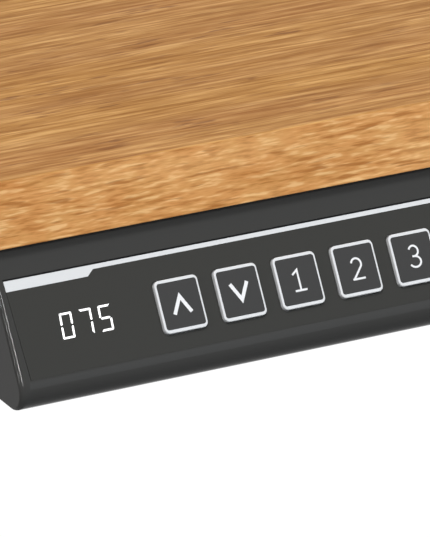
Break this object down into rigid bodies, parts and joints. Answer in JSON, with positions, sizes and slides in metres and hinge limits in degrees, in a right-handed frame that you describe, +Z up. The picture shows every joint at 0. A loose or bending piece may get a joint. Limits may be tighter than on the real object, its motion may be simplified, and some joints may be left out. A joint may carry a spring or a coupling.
{
  "type": "height adjustable standing desk",
  "caption": "Wood-look desk top on an electric frame with two telescopic columns, lifted by geared spindles and run from a hand switch with a height display and keys under the front edge.",
  "frame": {"origin": "on the floor, under the middle of the desk's overall box", "axes": "+X to the user's right along the top's length, +Y away from the user, +Z up"},
  "size_m": [1.2, 0.6154, 0.75],
  "materials": {
    "oak_top": "wood-look melamine, satin, fine long grain",
    "oak_edge": "wood-look edge band, satin",
    "frame_coat": "black powder coat, fine texture, satin",
    "handset_black": "black moulded plastic, very fine grain, satin",
    "face_film": "dark grey film, satin",
    "strip_white": "white inlay, satin gloss",
    "key_white": "milky white cap, dark printed top",
    "black_plastic": "black moulded plastic, matte",
    "guide_plastic": "black low-friction plastic",
    "zinc": "zinc-plated steel",
    "bright_steel": "rolled and turned steel, oiled",
    "gear_steel": "hardened steel, greased",
    "cast_case": "die-cast aluminium, as cast",
    "motor_can": "black painted steel can",
    "nut_plastic": "natural white acetal",
    "board": "green circuit board",
    "display": "black numeral display module",
    "pad_rubber": "black rubber-faced pad on a zinc stud"
  },
  "bodies": {
    "base": {"left_foot": "frame_coat", "left_lower_tube": "frame_coat", "left_collar": "guide_plastic", "right_foot": "frame_coat", "right_lower_tube": "frame_coat", "right_collar": "guide_plastic", "nut_posts": "bright_steel", "spindle_nuts": "nut_plastic", "foot_bolts": "zinc"},
    "left_spindle": {"left_spindle": "bright_steel", "left_spindle_gear": "gear_steel"},
    "right_spindle": {"right_spindle": "bright_steel", "right_spindle_gear": "gear_steel"},
    "drive": {"drive_rod": "zinc", "drive_pinions": "gear_steel", "drive_sleeve": "gear_steel"},
    "key_up": {"key_up": "key_white"},
    "key_down": {"key_down": "key_white"},
    "key_1": {"key_1": "key_white"},
    "key_2": {"key_2": "key_white"},
    "key_3": {"key_3": "key_white"},
    "left_front_leveler": {"left_front_leveler": "pad_rubber"},
    "left_rear_leveler": {"left_rear_leveler": "pad_rubber"},
    "right_front_leveler": {"right_front_leveler": "pad_rubber"},
    "right_rear_leveler": {"right_rear_leveler": "pad_rubber"},
    "lift": {"accent_strip": "strip_white", "control_board": "board", "control_box_base": "black_plastic", "control_box_cover": "black_plastic", "control_sockets": "black_plastic", "desktop": "oak_top", "desktop_screws": "zinc", "drive_motor": "motor_can", "edge_banding": "oak_edge", "frame_bolts": "zinc", "front_rail": "frame_coat", "gear_case_lids": "cast_case", "handset_board": "board", "handset_face": "face_film", "handset_shell": "handset_black", "handset_socket": "black_plastic", "key_switches": "black_plastic", "led_display": "display", "left_arm": "frame_coat", "left_gear_case": "cast_case", "left_rail_ends": "frame_coat", "left_slider": "guide_plastic", "left_upper_tube": "frame_coat", "mains_inlet": "black_plastic", "motor_bolts": "zinc", "motor_gearbox": "cast_case", "rail_lock_screws": "zinc", "rear_rail": "frame_coat", "right_arm": "frame_coat", "right_gear_case": "cast_case", "right_rail_ends": "frame_coat", "right_slider": "guide_plastic", "right_upper_tube": "frame_coat", "spindle_bearings": "bright_steel", "tab_screws": "zinc"}
  },
  "joints": [
    {"name": "height", "type": "slide", "parent": "base", "child": "lift", "axis": [0, 0, 1], "range_m": [-0.03, 0.45]},
    {"name": "left_spindle_turn", "type": "hinge", "parent": "lift", "child": "left_spindle", "pos_m": [-0.44, 0.0077, 0.70885], "axis": [0, 0, 1], "continuous": true},
    {"name": "right_spindle_turn", "type": "hinge", "parent": "lift", "child": "right_spindle", "pos_m": [0.44, 0.0077, 0.70885], "axis": [0, 0, 1], "continuous": true},
    {"name": "drive_turn", "type": "hinge", "parent": "lift", "child": "drive", "pos_m": [0, 0.0077, 0.70885], "axis": [1, 0, 0], "continuous": true},
    {"name": "key_up_press", "type": "slide", "parent": "lift", "child": "key_up", "axis": [0, 0.8572, -0.515], "range_m": [0, 0.0005], "stiffness_N_per_m": 800, "springref_m": -0.0015},
    {"name": "key_down_press", "type": "slide", "parent": "lift", "child": "key_down", "axis": [0, 0.8572, -0.515], "range_m": [0, 0.0005], "stiffness_N_per_m": 800, "springref_m": -0.0015},
    {"name": "key_1_press", "type": "slide", "parent": "lift", "child": "key_1", "axis": [0, 0.8572, -0.515], "range_m": [0, 0.0005], "stiffness_N_per_m": 800, "springref_m": -0.0015},
    {"name": "key_2_press", "type": "slide", "parent": "lift", "child": "key_2", "axis": [0, 0.8572, -0.515], "range_m": [0, 0.0005], "stiffness_N_per_m": 800, "springref_m": -0.0015},
    {"name": "key_3_press", "type": "slide", "parent": "lift", "child": "key_3", "axis": [0, 0.8572, -0.515], "range_m": [0, 0.0005], "stiffness_N_per_m": 800, "springref_m": -0.0015},
    {"name": "left_front_leveler_screw", "type": "slide", "parent": "base", "child": "left_front_leveler", "axis": [0, 0, -1], "range_m": [0, 0.01]},
    {"name": "left_rear_leveler_screw", "type": "slide", "parent": "base", "child": "left_rear_leveler", "axis": [0, 0, -1], "range_m": [0, 0.01]},
    {"name": "right_front_leveler_screw", "type": "slide", "parent": "base", "child": "right_front_leveler", "axis": [0, 0, -1], "range_m": [0, 0.01]},
    {"name": "right_rear_leveler_screw", "type": "slide", "parent": "base", "child": "right_rear_leveler", "axis": [0, 0, -1], "range_m": [0, 0.01]}
  ],
  "couplings": [
    {"joint": "left_spindle_turn", "follows": "height", "rad_per_m": 785.4},
    {"joint": "right_spindle_turn", "follows": "height", "rad_per_m": 785.4},
    {"joint": "drive_turn", "follows": "height", "rad_per_m": 785.4}
  ]
}
